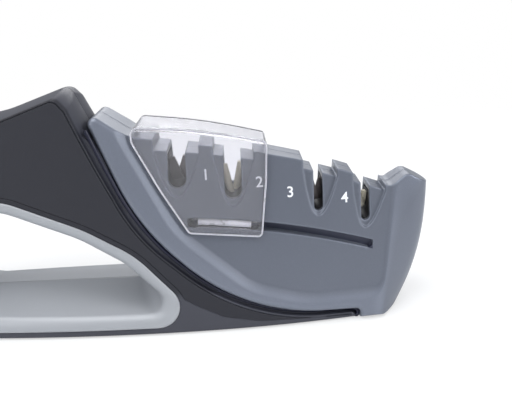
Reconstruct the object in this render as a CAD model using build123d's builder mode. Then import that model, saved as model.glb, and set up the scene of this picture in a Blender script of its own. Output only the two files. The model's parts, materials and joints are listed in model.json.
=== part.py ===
from build123d import *
from math import cos, radians, sin, sqrt
import os

# Hand-held pull-through knife sharpener, millimetres.
# +X points to the nose, -Y is the front, +Z is up, the pads stand on z = 0.

# Frame: the dark closed-loop handle that also carries the head
pad_drop = 0.8
frame_low = pad_drop
hull_top = 100.0
hull_taper = 0.5
hull_side = [(-120.0, 16.5), (-95.0, 20.5), (-55.0, 24.3), (-10.0, 26.0), (35.0, 25.0), (90.0, 19.0)]
below_base = -30.0
tip_x = 84.0
tip_z = 4.4
cradle = [(tip_x, tip_z), (37.0, 6.0), (-2.8, 44.0), (-22.2, 90.4)]
cradle_radii = [2.0, 84.0, 90.0, 2.0]
handle_top = [(-27.6, 96.3), (-53.0, 87.5), (-86.0, 83.0), (-111.0, 60.0), (-114.6, 28.0), (-108.0, below_base)]
handle_radii = [3.2, 60.0, 40.0, 30.0, 60.0, 0.0]
crown_depth = 8.0
crown_drop = 0.8
crease_depth = 30.0
crease_cradle = [(81.8, 2.2), (36.6, 3.2), (-6.2, 40.6), (-37.8, 82.0)]
crease_cradle_radii = [1.5, 90.0, 70.0, 6.0]
crease_top = [(-43.0, 85.5), (-55.0, 78.0), (-82.0, 69.5), (-99.0, 51.0), (-101.5, 28.0), (-94.0, below_base)]
crease_top_radii = [4.0, 70.0, 28.0, 20.0, 50.0, 0.0]
seat_gap = 0.15
channel_width = 1.6
channel_depth = 2.2
flange_setback = 6.0
frame_wall = 2.4
frame_skin = 4.2
frame_floor = 6.5
cavity_setback = 8.0

# Loop through the handle, measured on the outer edge of the lip
loop_lip = [(-5.0, 33.6), (-24.0, 44.8), (-66.0, 62.0), (-97.5, 32.0), (-84.0, 2.9), (22.2, 2.9)]
loop_lip_radii = [40.0, 60.0, 30.0, 22.0, 16.0, 9.1]
loop_mouth = [(-8.0, 31.0), (-24.0, 40.8), (-66.0, 57.8), (-93.5, 32.0), (-81.5, 7.0), (14.5, 7.0)]
loop_mouth_radii = [30.0, 50.0, 27.0, 19.0, 14.0, 6.0]
loop_seam = [(-13.5, 27.5), (-29.0, 38.5), (-65.0, 54.0), (-90.5, 32.0), (-79.0, 13.2), (-1.0, 13.2)]
loop_seam_radii = [20.0, 45.0, 24.0, 17.0, 12.0, 4.0]
loop_depth = 28.0
liner_wall = 2.0
liner_flange = 3.5
liner_proud = 0.4
liner_gap = 0.1

# Soft grips let into both sides of the frame
grip_thick = 1.4
grip_proud = 0.2
grip_gap = 0.1
grip_setback = 0.6
grip_margin = 2.1
swoosh = [(-130.0, 8.0), (-2.0, 10.0), (7.5, 18.2), (17.5, 12.0), (28.1, 6.4), (42.6, 3.4), (90.0, 1.2)]

# Head: the wedge-shaped housing of the slots
face_half = 29.4
faces_meet_z = 117.6
faces_meet_x = 294.0
face_lean = face_half / faces_meet_z
face_yaw = face_half / faces_meet_x
rim_proud = 2.0
nose_start = 88.0
nose_share = 0.6
nose_fullness = 0.72
nose_tips = [(-1.0, 103.0), (20.0, 111.3), (42.0, 114.0), (60.0, 113.6)]
head_right = [(116.0, frame_low), (119.0, 49.8), (104.6, 57.4), (97.6, 52.2)]
head_right_radii = [0.0, 0.0, 3.0, 2.5]
crest_radius = 360.0
crest_x = -32.3
crest_z = -282.4
crest_stations = [84.0, 62.0, 38.0, 14.0]
head_left = [(-4.2, 78.0)]
head_left_radii = [12.0]
head_corner_round = 2.6
crest_corner_round = 140.0
rim_round = 2.0
crease_line = [(93.2, 12.6), (98.4, 56.0), (99.5, 100.0), (-12.0, 100.0), (-4.9, 78.5), (13.6, 42.4), (41.0, 19.0), (62.0, 12.6)]
crease_line_radii = [5.0, 30.0, 0.0, 0.0, 10.0, 40.0, 25.0, 40.0]
band_width = 4.0
head_wall = 2.4
head_skin = 3.4
ledge_drop = 3.6
ledge_skin = 2.0
pocket_depth = 1.4
cavity_right = 94.0
cavity_top_left = 4.0
cavity_round = 1.0
above_top = 100.0

# Slots, from the handle to the nose: centre, width, bottom, pocket bottom,
# pocket left and right, height where the pair crosses, lean of each piece
slots = {
    "standard_coarse": (12.7, 6.9, 57.3, 54.3, 4.3, 21.4, 62.5, 20.0),
    "standard_fine": (34.1, 6.8, 51.7, 49.2, 26.9, 42.5, 53.5, 12.0),
    "asian_coarse": (68.1, 3.7, 44.4, 43.1, 62.1, 75.9, 50.8, 15.0),
    "asian_fine": (87.4, 3.6, 39.1, 36.9, 82.2, 95.7, 47.0, 15.0),
}
holder_wall = 3.6
holder_floor = 5.0
holder_half = 8.8
holder_gap = 0.12
holder_drop = 0.45
slot_relief = 0.2
blade_wide = 4.0
blade_thick = 1.8
rod_radius = 1.5
insert_down = 4.2
insert_end = 0.8
insert_gap = 0.05

# Curved groove and the clear guard that rides in it
pivot_x = -17.0
pivot_z = -314.0
groove_radius = 360.1
groove_width = 3.5
groove_floor = 11.0
groove_back = 2.0
groove_from = 5.5
groove_to = 17.0
guard_outline = [(44.9, 36.9), (47.5, 58.4), (48.2, 73.6), (22.5, 79.6), (-3.6, 82.0), (-3.8, 76.3), (5.9, 57.7), (16.2, 40.6)]
guard_crown = 200.0
guard_radii = [2.0, 40.0, 2.5, guard_crown, 3.0, 6.0, 80.0, 2.5]
guard_gap = 0.35
guard_wall = 1.8
guard_round = 0.9
guard_overhang = 10.0
rib_width = 2.9
rib_reach = 0.5
rib_from = 5.6
rib_to = 9.4

# Base plate, pads and screws
plate_recess = 0.3
plate_thick = 2.0
plate_gap = 0.1
plate_side = [(-109.0, 11.5), (-55.0, 18.3), (-10.0, 20.0), (35.0, 19.0), (96.0, 11.5)]
plate_round = 4.0
pad_stations = [(-96.0, 22.0), (-12.0, 34.0), (72.0, 24.0)]
pad_width = 8.0
pad_sunk = 1.0
pad_round = 0.5
base_screws = [(-84.0, 9.0), (8.0, 12.0), (90.0, 5.5)]
base_head_radius = 2.4
base_head_thick = 1.2
base_shank_radius = 1.1
base_shank_top = 6.0
frame_screws = [(-40.0, 70.0), (-106.0, 36.0), (22.0, 12.0)]
frame_head_radius = 2.8
frame_head_thick = 1.8
frame_shank_radius = 1.4
frame_boss_radius = 4.2
frame_screw_depth = 6.0
frame_head_seat = 9.0
bore_relief = 0.2
screw_fit = 0.05
cutter_reach = 60.0

os.makedirs("parts", exist_ok=True)


def save(part, name):
    part.label = name
    export_step(part, "parts/" + name + ".step")


def inset_points(points, distances):
    """Moves each side of an anticlockwise outline inwards by its own distance."""
    moved = []
    for index, point in enumerate(points):
        before = Vector(*points[index - 1])
        here = Vector(*point)
        after = Vector(*points[(index + 1) % len(points)])
        run_in = (here - before).normalized()
        run_out = (after - here).normalized()
        side_in = Vector(-run_in.Y, run_in.X)
        side_out = Vector(-run_out.Y, run_out.X)
        turn = side_in.dot(side_out)
        first = (distances[index - 1] - turn * distances[index]) / (1 - turn * turn)
        second = (distances[index] - turn * distances[index - 1]) / (1 - turn * turn)
        corner = here + side_in * first + side_out * second
        moved.append((corner.X, corner.Y))
    return moved


def outline(points, radii):
    """Closed outline of straight runs joined by arcs."""
    with BuildLine() as line:
        FilletPolyline(*points, radius=radii, close=True)
    return line.edges()


def loop_outline(points, radii, grow):
    """Loop outline made larger by the same distance all round."""
    return outline(inset_points(points, [-grow] * len(points)), [radius + grow for radius in radii])


def frame_outline(cradle_inset, top_inset):
    """Frame outline with its cradle and its outer edge moved inwards."""
    points = [(tip_x, below_base)] + cradle + handle_top
    distances = [cradle_inset] * len(cradle) + [top_inset] * len(handle_top) + [0.0]
    return outline(inset_points(points, distances), [0.0] + cradle_radii + handle_radii)


def side_hull(inset):
    """Front half of the space between the sides of the frame, leaning in with height."""
    with BuildPart() as hull:
        for level, scale in ((frame_low, 1.0), (hull_top, hull_taper)):
            with BuildSketch(Plane.XY.offset(level)):
                with BuildLine():
                    side = Spline(*[(x, inset - y * scale) for x, y in hull_side])
                    Polyline(side @ 0, (hull_side[0][0], 0), (hull_side[-1][0], 0), side @ 1)
                make_face()
        loft(ruled=True)
    return hull.part


def face_plane(depth):
    """Plane parallel to the recessed front face, a depth behind it along Y."""
    return Plane(origin=(0, depth - face_half, 0), x_dir=(1, face_yaw, 0), z_dir=(face_yaw, -1, face_lean))


def on_face(points, depth):
    """Points of a front view, put on a plane parallel to the front face."""
    plane = face_plane(depth)
    placed = []
    for x, z in points:
        spot = plane.to_local_coords(Vector(x, depth - face_half + face_lean * z + face_yaw * x, z))
        placed.append((spot.X, spot.Y))
    return placed


def half_at(x, z, depth):
    """Half thickness of the head at a place of its front view."""
    return face_half - depth - face_lean * z - face_yaw * x


def wedge(depth):
    """Front half of the space between the two leaning faces."""
    with BuildPart() as space:
        with BuildSketch(Plane.XZ):
            Rectangle(4 * cutter_reach, 4 * cutter_reach)
        extrude(amount=cutter_reach)
        split(bisect_by=face_plane(depth), keep=Keep.BOTTOM)
    return space.part


def crest(x):
    """Height of the tops of the blocks between the slots."""
    return crest_z + sqrt(crest_radius ** 2 - (x - crest_x) ** 2)


def arc_slot(angle_from, angle_to, width):
    """Band about the pivot of the guard, with round ends."""
    spots = []
    for angle in (angle_from, (angle_from + angle_to) / 2, angle_to):
        x = pivot_x + groove_radius * sin(radians(angle))
        z = pivot_z + groove_radius * cos(radians(angle))
        spots.append((x, z))
    with BuildLine() as line:
        ThreePointArc(*spots)
    with BuildSketch() as band:
        SlotArc(line.edges()[0], width)
    return band.sketch


head_points = [(tip_x, frame_low)] + head_right + [(x, crest(x)) for x in crest_stations] + head_left + cradle[::-1]
head_radii = [0.0] + head_right_radii + [crest_corner_round] * len(crest_stations) + head_left_radii
head_radii += [head_corner_round] + cradle_radii[::-1][1:]

# Solids shared by several pieces
outer_hull = side_hull(0.0)
channel_hull = side_hull(channel_depth)
flange_hull = side_hull(liner_flange)
wedge_seat = wedge(head_skin)

# The loop narrows from its mouth to the seam in the middle
def loop_bore(grow):
    with BuildPart() as bore:
        for depth, points, radii in (
            (0.0, loop_seam, loop_seam_radii),
            (loop_depth, loop_mouth, loop_mouth_radii),
        ):
            with BuildSketch(Plane.XZ.offset(depth)):
                make_face(loop_outline(points, radii, grow))
        loft(ruled=True)
    return bore.part


bore_inner = loop_bore(0.0)
bore_outer = loop_bore(liner_wall)
bore_clear = loop_bore(liner_wall + liner_gap)

# Frame, front half, before it is hollowed: bevelled all round, with a step round the head
with BuildPart() as frame_blank:
    with BuildSketch(Plane.XZ):
        make_face(frame_outline(channel_width, 0.0))
    with BuildSketch(Plane.XZ.offset(crown_depth)):
        make_face(frame_outline(channel_width, crown_drop))
    with BuildSketch(Plane.XZ.offset(crease_depth)):
        crease_points = [(crease_cradle[0][0], below_base)] + crease_cradle + crease_top
        make_face(outline(crease_points, [0.0] + crease_cradle_radii + crease_top_radii))
    loft()
    add(outer_hull, mode=Mode.INTERSECT)
    with BuildPart(mode=Mode.PRIVATE) as flange:
        with BuildSketch(Plane.XZ):
            make_face(frame_outline(seat_gap, flange_setback))
        extrude(amount=cutter_reach)
        add(channel_hull, mode=Mode.INTERSECT)
    add(flange.part)
    with BuildPart(mode=Mode.PRIVATE) as lip_seat:
        with BuildSketch(Plane.XZ):
            make_face(outline(loop_lip, loop_lip_radii))
        extrude(amount=cutter_reach)
        add(flange_hull, mode=Mode.SUBTRACT)
    add(lip_seat.part, mode=Mode.SUBTRACT)
    add(bore_clear, mode=Mode.SUBTRACT)


def grip_space(gap, depth):
    """Space between the two creases of the frame, down to a depth below its side."""
    setback = grip_setback + gap
    crease_points = [(crease_cradle[0][0], below_base)] + crease_cradle + crease_top
    with BuildPart() as space:
        with BuildSketch(Plane.XZ):
            make_face(frame_outline(channel_width + setback, setback))
        with BuildSketch(Plane.XZ.offset(crown_depth)):
            make_face(frame_outline(channel_width + setback, crown_drop + setback))
        with BuildSketch(Plane.XZ.offset(crease_depth)):
            inner_points = inset_points(crease_points, [setback] * (len(crease_points) - 1) + [0.0])
            make_face(outline(inner_points, [0.0] + crease_cradle_radii + crease_top_radii))
        loft()
        with BuildSketch(Plane.XZ):
            make_face(loop_outline(loop_lip, loop_lip_radii, grip_margin + gap))
        extrude(amount=cutter_reach, mode=Mode.SUBTRACT)
        with BuildSketch(Plane.XZ):
            with BuildLine():
                Polyline(*swoosh, (swoosh[-1][0], below_base - 1), (swoosh[0][0], below_base - 1), close=True)
            make_face()
            offset(amount=gap)
        extrude(amount=cutter_reach, mode=Mode.SUBTRACT)
        add(side_hull(depth), mode=Mode.SUBTRACT)
    return space.part


grip_floor = grip_thick - grip_proud
grip_pocket = grip_space(0.0, grip_floor + grip_gap)

# Soft grip, front
with BuildPart() as side_grip_front:
    add(grip_space(grip_gap, grip_floor))
    add(side_hull(-grip_proud), mode=Mode.INTERSECT)

# Inside of the frame, bosses for the screws and the recess of the base plate
with BuildPart() as frame_cavity:
    with BuildSketch(Plane.XZ):
        make_face(frame_outline(seat_gap + frame_wall, cavity_setback))
        make_face(loop_outline(loop_lip, loop_lip_radii, frame_wall), mode=Mode.SUBTRACT)
        with Locations((0, frame_floor + below_base)):
            Rectangle(4 * cutter_reach, -2 * below_base, mode=Mode.SUBTRACT)
        with Locations(*frame_screws):
            Circle(frame_boss_radius, mode=Mode.SUBTRACT)
    extrude(amount=cutter_reach)
    add(side_hull(frame_skin), mode=Mode.INTERSECT)
    add(bore_clear, mode=Mode.SUBTRACT)

plate_under = frame_low + plate_recess
plate_top = plate_under + plate_thick


def plate_outline(grow):
    """Plan of the base plate, made larger by the same distance all round."""
    left = plate_side[0][0] - grow
    right = plate_side[-1][0] + grow
    with BuildSketch() as plan:
        with BuildLine():
            stations = [left] + [x for x, y in plate_side[1:-1]] + [right]
            side = Spline(*[(x, -y - grow) for x, (_, y) in zip(stations, plate_side)])
            Polyline(side @ 0, (left, 0), (right, 0), side @ 1)
        make_face()
        corners = plan.vertices().filter_by(lambda spot: spot.Y < -plate_round)
        fillet(corners, plate_round + grow)
        mirror(about=Plane.XZ)
    return plan.sketch


plate_plan = plate_outline(0.0)
recess_plan = plate_outline(plate_gap)
with BuildPart() as plate_space:
    with BuildSketch(Plane.XY.offset(frame_low - 1)):
        add(recess_plan)
    extrude(amount=plate_top + plate_gap - frame_low + 1)
    for x, y in base_screws:
        with BuildSketch(Plane.XY.offset(plate_top)):
            with Locations((x, y), (x, -y)):
                Circle(base_shank_radius + screw_fit)
        extrude(amount=base_shank_top + 2 * bore_relief - plate_top)

with BuildPart() as frame_half:
    add(frame_blank.part)
    add(grip_pocket, mode=Mode.SUBTRACT)
    add(frame_cavity.part, mode=Mode.SUBTRACT)
    add(plate_space.part, mode=Mode.SUBTRACT)

with BuildPart() as frame_front_shell:
    add(frame_half.part)
    with BuildSketch(Plane.XZ):
        with Locations(*frame_screws):
            Circle(frame_shank_radius + screw_fit)
    extrude(amount=frame_screw_depth + bore_relief, mode=Mode.SUBTRACT)

with BuildPart() as frame_rear_shell:
    mirror(frame_half.part, about=Plane.XZ)
    with BuildSketch(Plane.XZ):
        with Locations(*frame_screws):
            Circle(frame_shank_radius + screw_fit)
    extrude(amount=-cutter_reach, mode=Mode.SUBTRACT)
    with BuildSketch(Plane.XZ.offset(-frame_head_seat)):
        with Locations(*frame_screws):
            Circle(frame_head_radius + bore_relief)
    extrude(amount=-cutter_reach, mode=Mode.SUBTRACT)

# Liner of the loop, front half: a rolled lip on a thin tube that narrows to the seam
with BuildPart() as loop_liner_front:
    with BuildSketch(Plane.XZ):
        make_face(loop_outline(loop_lip, loop_lip_radii, -liner_gap))
    extrude(amount=cutter_reach)
    add(side_hull(liner_flange - liner_gap), mode=Mode.SUBTRACT)
    add(side_hull(-liner_proud), mode=Mode.INTERSECT)
    with BuildPart(mode=Mode.PRIVATE) as tube:
        add(bore_outer)
        add(outer_hull, mode=Mode.INTERSECT)
    add(tube.part)
    add(bore_inner, mode=Mode.SUBTRACT)

# Space of the head: two leaning faces that close round the nose
with BuildPart() as head_space:
    with BuildSketch(Plane.XY.offset(nose_tips[0][0])):
        with Locations((nose_start - 2 * cutter_reach, -cutter_reach / 2)):
            Rectangle(4 * cutter_reach, cutter_reach)
    extrude(amount=2 * cutter_reach)
    split(bisect_by=face_plane(-rim_proud), keep=Keep.BOTTOM)
    with BuildPart(mode=Mode.PRIVATE) as nose:
        for level, tip in nose_tips:
            half = half_at(nose_start, level, -rim_proud)
            with BuildSketch(Plane.XY.offset(level)):
                with BuildLine():
                    side = Spline(
                        (nose_start, -half),
                        (nose_start + (tip - nose_start) * nose_share, -half * nose_fullness),
                        (tip, 0),
                        tangents=((1, face_yaw), (0, 1)),
                    )
                    Polyline(side @ 0, (nose_start, 0), side @ 1)
                make_face()
        loft()
    add(nose.part)

# Head, front half, before it is hollowed: its rim is rounded, then the nose and the slots are cut
with BuildPart() as slot_cuts:
    with BuildSketch(Plane.XZ):
        for name, (x, width, bottom, low, left, right, cross, lean) in slots.items():
            with BuildLine():
                Polyline(
                    (left, crest(left) - ledge_drop),
                    (right, crest(right) - ledge_drop),
                    (right + slot_relief, above_top),
                    (left - slot_relief, above_top),
                    close=True,
                )
            make_face()
            with Locations((x, (bottom + above_top) / 2)):
                SlotOverall(above_top - bottom, width, rotation=90)
    extrude(amount=cutter_reach)

with BuildPart() as head_blank:
    with BuildSketch(Plane.XZ):
        make_face(outline(head_points, head_radii))
    extrude(amount=cutter_reach)
    split(bisect_by=face_plane(-rim_proud), keep=Keep.BOTTOM)
    fillet(faces().sort_by(Axis.Y)[0].edges(), rim_round)
    add(head_space.part, mode=Mode.INTERSECT)
    add(slot_cuts.part, mode=Mode.SUBTRACT)

# Sunken panel of the face, with a sloping band round it
with BuildPart() as panel_space:
    with BuildSketch(face_plane(0.0)):
        make_face(outline(on_face(crease_line, 0.0), crease_line_radii))
    with BuildSketch(face_plane(-2 * rim_proud)):
        make_face(outline(on_face(crease_line, -2 * rim_proud), crease_line_radii))
        offset(amount=2 * band_width)
    loft(ruled=True)

# Hollows round the slots, the curved groove and the inside of the head
with BuildPart() as pockets:
    for name, (x, width, bottom, low, left, right, cross, lean) in slots.items():
        with BuildSketch(Plane.XZ):
            with BuildLine():
                curve = Spline((left, crest(left) - ledge_drop), (x, low), (right, crest(right) - ledge_drop))
                Polyline(curve @ 1, (right, above_top), (left, above_top), curve @ 0)
            make_face()
        extrude(amount=cutter_reach)
    split(bisect_by=face_plane(pocket_depth), keep=Keep.TOP)

with BuildPart() as groove:
    with BuildSketch(Plane.XZ.offset(groove_floor)):
        add(arc_slot(groove_from, groove_to, groove_width))
    extrude(amount=cutter_reach)

cavity_points = [(cavity_right, tip_z), (cavity_right, crest(cavity_right))]
cavity_points += [(x, crest(x)) for x in crest_stations] + head_left + cradle[:0:-1]
cavity_insets = [0.0] + [ledge_drop + ledge_skin] * (len(crest_stations) + 1) + [cavity_top_left]
cavity_insets += [head_wall] * (len(cradle) - 1)
cavity_radii = [cavity_round] * 2 + [0.0] * len(crest_stations) + [cavity_round] * 2
cavity_radii += [radius - 2 * head_wall for radius in cradle_radii[2:0:-1]]
with BuildPart() as head_cavity:
    with BuildSketch(Plane.XZ):
        make_face(outline(inset_points(cavity_points, cavity_insets), cavity_radii))
    extrude(amount=cutter_reach)
    add(wedge_seat, mode=Mode.INTERSECT)
    with BuildSketch(Plane.XZ.offset(groove_floor - groove_back)):
        add(arc_slot(groove_from, groove_to, groove_width + 2 * groove_back))
    extrude(amount=cutter_reach, mode=Mode.SUBTRACT)

with BuildPart() as head_front_shell:
    add(head_blank.part)
    add(panel_space.part, mode=Mode.SUBTRACT)
    add(pockets.part, mode=Mode.SUBTRACT)
    add(groove.part, mode=Mode.SUBTRACT)
    add(head_cavity.part, mode=Mode.SUBTRACT)
    add(plate_space.part, mode=Mode.SUBTRACT)

with BuildPart() as head_rear_shell:
    mirror(head_front_shell.part, about=Plane.XZ)

with BuildPart() as side_grip_rear:
    mirror(side_grip_front.part, about=Plane.XZ)

with BuildPart() as loop_liner_rear:
    mirror(loop_liner_front.part, about=Plane.XZ)


def insert_plane(x, z, lean, side):
    """Plane of one piece of a crossed pair, with its Y along the piece."""
    run = cos(radians(lean))
    rise = sin(radians(lean))
    return Plane(origin=(x, 0, z), x_dir=(side * run, 0, rise), z_dir=(0, -side, 0))


def holder_top(x, width):
    """Height of a holder, clear of the sloping skin over its lower side."""
    return crest(x + width / 2 + holder_wall) - ledge_drop - ledge_skin - holder_drop


def insert_up(x, width, cross, lean):
    """Length of a crossed piece above the crossing."""
    return (holder_top(x, width) - cross) / cos(radians(lean)) - insert_end


def blade(x, width, cross, lean, side, gap):
    """Flat carbide blade, its inner edge through the crossing."""
    up = insert_up(x, width, cross, lean)
    with BuildPart() as piece:
        with BuildSketch(insert_plane(x, cross, lean, side).offset(insert_gap - gap)):
            with Locations((-blade_wide / 2, (up - insert_down) / 2)):
                Rectangle(blade_wide + 2 * gap, up + insert_down + 2 * gap)
        extrude(amount=blade_thick + 2 * gap)
    return piece.part


def rod(x, width, cross, lean, side, gap):
    """Round ceramic rod, its inner side through the crossing."""
    up = insert_up(x, width, cross, lean)
    seat = insert_plane(x, cross, lean, side)
    foot = seat.from_local_coords(Vector(-rod_radius, -insert_down - gap, rod_radius + insert_gap))
    with BuildPart() as piece:
        with BuildSketch(Plane(origin=foot, z_dir=seat.y_dir)):
            Circle(rod_radius + gap)
        extrude(amount=up + insert_down + 2 * gap)
    return piece.part


def holder(x, width, bottom, cross, lean, make):
    """Block inside the head that carries one crossed pair round its slot."""
    top = holder_top(x, width)
    low_end = bottom - holder_floor
    with BuildPart() as block:
        with BuildSketch(Plane.XZ):
            with Locations((x, (top + low_end) / 2)):
                Rectangle(width + 2 * holder_wall, top - low_end)
            with Locations((x, (bottom + above_top) / 2)):
                SlotOverall(above_top - bottom + 2 * slot_relief, width + 2 * slot_relief, rotation=90, mode=Mode.SUBTRACT)
        extrude(amount=holder_half)
        split(bisect_by=face_plane(head_skin + holder_gap), keep=Keep.BOTTOM)
        mirror(about=Plane.XZ)
        for side in (1, -1):
            add(make(x, width, cross, lean, side, insert_gap), mode=Mode.SUBTRACT)
    return block.part


for name, (x, width, bottom, low, left, right, cross, lean) in slots.items():
    make = blade if name.endswith("coarse") else rod
    kind = "blade" if name.endswith("coarse") else "rod"
    save(holder(x, width, bottom, cross, lean, make), name + "_holder")
    save(make(x, width, cross, lean, 1, 0.0), name + "_" + kind + "_left")
    save(make(x, width, cross, lean, -1, 0.0), name + "_" + kind + "_right")

# Clear guard: a saddle over the head with a rib on each side for the groove
under_radii = [guard_crown if radius == guard_crown else 0.0 for radius in guard_radii]
guard_sides = [-guard_overhang, -guard_overhang, guard_wall, guard_wall] + [-guard_overhang] * 4
with BuildPart() as guard_half:
    with BuildSketch(Plane.XZ):
        make_face(outline(guard_outline, guard_radii))
    extrude(amount=cutter_reach)
    split(bisect_by=face_plane(-guard_gap - guard_wall), keep=Keep.BOTTOM)
    front_edges = guard_half.faces().sort_by(Axis.Y)[0].edges()
    fillet(front_edges, guard_round)
    with BuildPart(mode=Mode.PRIVATE) as under_guard:
        with BuildSketch(Plane.XZ):
            make_face(outline(inset_points(guard_outline, guard_sides), under_radii))
        extrude(amount=cutter_reach)
        split(bisect_by=face_plane(-guard_gap), keep=Keep.BOTTOM)
    add(under_guard.part, mode=Mode.SUBTRACT)
    with BuildPart(mode=Mode.PRIVATE) as rib:
        with BuildSketch(Plane.XZ.offset(groove_floor + rib_reach)):
            add(arc_slot(rib_from, rib_to, rib_width))
        extrude(amount=cutter_reach)
        split(bisect_by=face_plane(-guard_gap - guard_wall / 2), keep=Keep.BOTTOM)
    add(rib.part)

with BuildPart() as finger_guard:
    add(guard_half.part)
    mirror(guard_half.part, about=Plane.XZ)

# Base plate with pockets for the pads and seats for the screws
with BuildPart() as base_plate:
    with BuildSketch(Plane.XY.offset(plate_under)):
        add(plate_plan)
    extrude(amount=plate_thick)
    for x, length in pad_stations:
        with BuildSketch(Plane.XY.offset(plate_under)):
            with Locations((x, 0)):
                SlotOverall(length + 2 * plate_gap, pad_width + 2 * plate_gap, rotation=90)
        extrude(amount=pad_sunk, mode=Mode.SUBTRACT)
    for x, y in base_screws:
        with BuildSketch(Plane.XY.offset(plate_under)):
            with Locations((x, y), (x, -y)):
                Circle(base_head_radius + bore_relief)
        extrude(amount=base_head_thick, mode=Mode.SUBTRACT)
        with BuildSketch(Plane.XY.offset(plate_under)):
            with Locations((x, y), (x, -y)):
                Circle(base_shank_radius + screw_fit)
        extrude(amount=plate_thick, mode=Mode.SUBTRACT)

pad_names = ("left", "middle", "right")
for pad_name, (x, length) in zip(pad_names, pad_stations):
    with BuildPart() as pad:
        with BuildSketch():
            with Locations((x, 0)):
                SlotOverall(length, pad_width, rotation=90)
        extrude(amount=plate_under + pad_sunk)
        fillet(pad.edges().group_by(Axis.Z)[0], pad_round)
    save(pad.part, "foot_pad_" + pad_name)

for place, (x, y) in zip(pad_names, base_screws):
    for side, side_name in ((-1, "front"), (1, "rear")):
        with BuildPart() as base_screw:
            with BuildSketch(Plane.XY.offset(plate_under)):
                with Locations((x, side * y)):
                    Circle(base_head_radius)
            extrude(amount=base_head_thick)
            with BuildSketch(Plane.XY.offset(plate_under)):
                with Locations((x, side * y)):
                    Circle(base_shank_radius)
            extrude(amount=base_shank_top - plate_under)
        save(base_screw.part, "base_screw_" + place + "_" + side_name)

for place, (x, z) in zip(("top", "left", "right"), frame_screws):
    with BuildPart() as frame_screw:
        with BuildSketch(Plane.XZ.offset(-frame_head_seat)):
            with Locations((x, z)):
                Circle(frame_head_radius)
        extrude(amount=-frame_head_thick)
        with BuildSketch(Plane.XZ.offset(frame_screw_depth)):
            with Locations((x, z)):
                Circle(frame_shank_radius)
        extrude(amount=-frame_screw_depth - frame_head_seat)
    save(frame_screw.part, "frame_screw_" + place)

save(head_front_shell.part, "head_front_shell")
save(head_rear_shell.part, "head_rear_shell")
save(frame_front_shell.part, "frame_front_shell")
save(frame_rear_shell.part, "frame_rear_shell")
save(side_grip_front.part, "side_grip_front")
save(side_grip_rear.part, "side_grip_rear")
save(loop_liner_front.part, "loop_liner_front")
save(loop_liner_rear.part, "loop_liner_rear")
save(finger_guard.part, "finger_guard")
save(base_plate.part, "base_plate")
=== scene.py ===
import bmesh
import bpy
import json
import math
from mathutils import Matrix, Vector


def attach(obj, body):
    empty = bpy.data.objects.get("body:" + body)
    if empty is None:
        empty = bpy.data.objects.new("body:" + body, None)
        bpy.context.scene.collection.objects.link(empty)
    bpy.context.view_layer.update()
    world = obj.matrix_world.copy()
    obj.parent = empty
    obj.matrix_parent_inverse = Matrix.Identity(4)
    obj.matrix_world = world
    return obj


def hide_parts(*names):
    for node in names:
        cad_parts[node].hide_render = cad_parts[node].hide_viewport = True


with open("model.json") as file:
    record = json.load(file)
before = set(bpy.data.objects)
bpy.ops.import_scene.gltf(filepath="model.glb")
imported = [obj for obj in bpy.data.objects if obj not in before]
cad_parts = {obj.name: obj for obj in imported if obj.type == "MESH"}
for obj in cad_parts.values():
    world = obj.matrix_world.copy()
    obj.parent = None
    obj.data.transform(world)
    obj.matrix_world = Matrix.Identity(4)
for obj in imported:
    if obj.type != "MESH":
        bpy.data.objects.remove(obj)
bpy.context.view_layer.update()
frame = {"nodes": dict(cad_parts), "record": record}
mmPerMetre = 1000
plainWhite = (1.0, 1.0, 1.0, 1.0)

# the camera stands where the photo was taken from
cameraValues = {
    "place": (0.0371, -0.2179, 0.1303),
    "right": (0.99872, -0.03998, -0.03124),
    "up": (0.04354, 0.35814, 0.93267),
    "forward": (0.02618, 0.93282, -0.35942),
    "lens": 39.375,
    "sensor": 36.0,
    "clipStart": 0.01,
}
stageValues = {
    "floorSize": 6.0,
    "floorHeight": -0.0002,
    "floorColour": (0.86, 0.87, 0.88, 1.0),
    "nearShare": 0.55,     # share of plain white in the floor beside the object
    "nearReach": 0.14,
    "farReach": 0.42,      # from here on the floor is plain white
    "floorLong": 0.6,
    "worldColour": (0.93, 0.95, 1.0, 1.0),
    "worldStrength": 0.5,
    "whiteStrength": 1.0,
}
lampValues = [
    # name, place, aim, size x, size y, watts
    ("topSoftbox", (-0.25, -0.15, 0.95), (0.0, 0.0, 0.05), 0.9, 0.6, 7.0),
    ("leftSoftbox", (-0.80, -0.65, 0.55), (0.0, 0.0, 0.05), 0.6, 0.7, 3.0),
    ("rightStrip", (0.75, -0.35, 0.45), (0.03, 0.0, 0.05), 0.25, 0.7, 4.2),
    ("backSoftbox", (0.10, 0.95, 0.60), (0.0, 0.0, 0.05), 0.9, 0.5, 4.2),
]


def deselectAll():
    if bpy.context.object and bpy.context.object.mode != "OBJECT":
        bpy.ops.object.mode_set(mode="OBJECT")
    bpy.ops.object.select_all(action="DESELECT")


# a socket takes a plain value, or a link from another socket
def feed(tree, socket, source):
    if isinstance(source, bpy.types.NodeSocket):
        tree.links.new(source, socket)
    else:
        socket.default_value = source


# new node, with what its sockets take by name
def addNode(tree, kind, takes):
    node = tree.nodes.new(kind)
    for name, source in takes.items():
        feed(tree, node.inputs[name], source)
    return node


def useGroup(tree, group, takes):
    node = tree.nodes.new("ShaderNodeGroup")
    node.node_tree = group
    for name, source in takes.items():
        feed(tree, node.inputs[name], source)
    return node.outputs


def mathNode(tree, operation, *sources):
    node = tree.nodes.new("ShaderNodeMath")
    node.operation = operation
    for socket, source in zip(node.inputs, sources):
        feed(tree, socket, source)
    return node.outputs[0]


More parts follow.
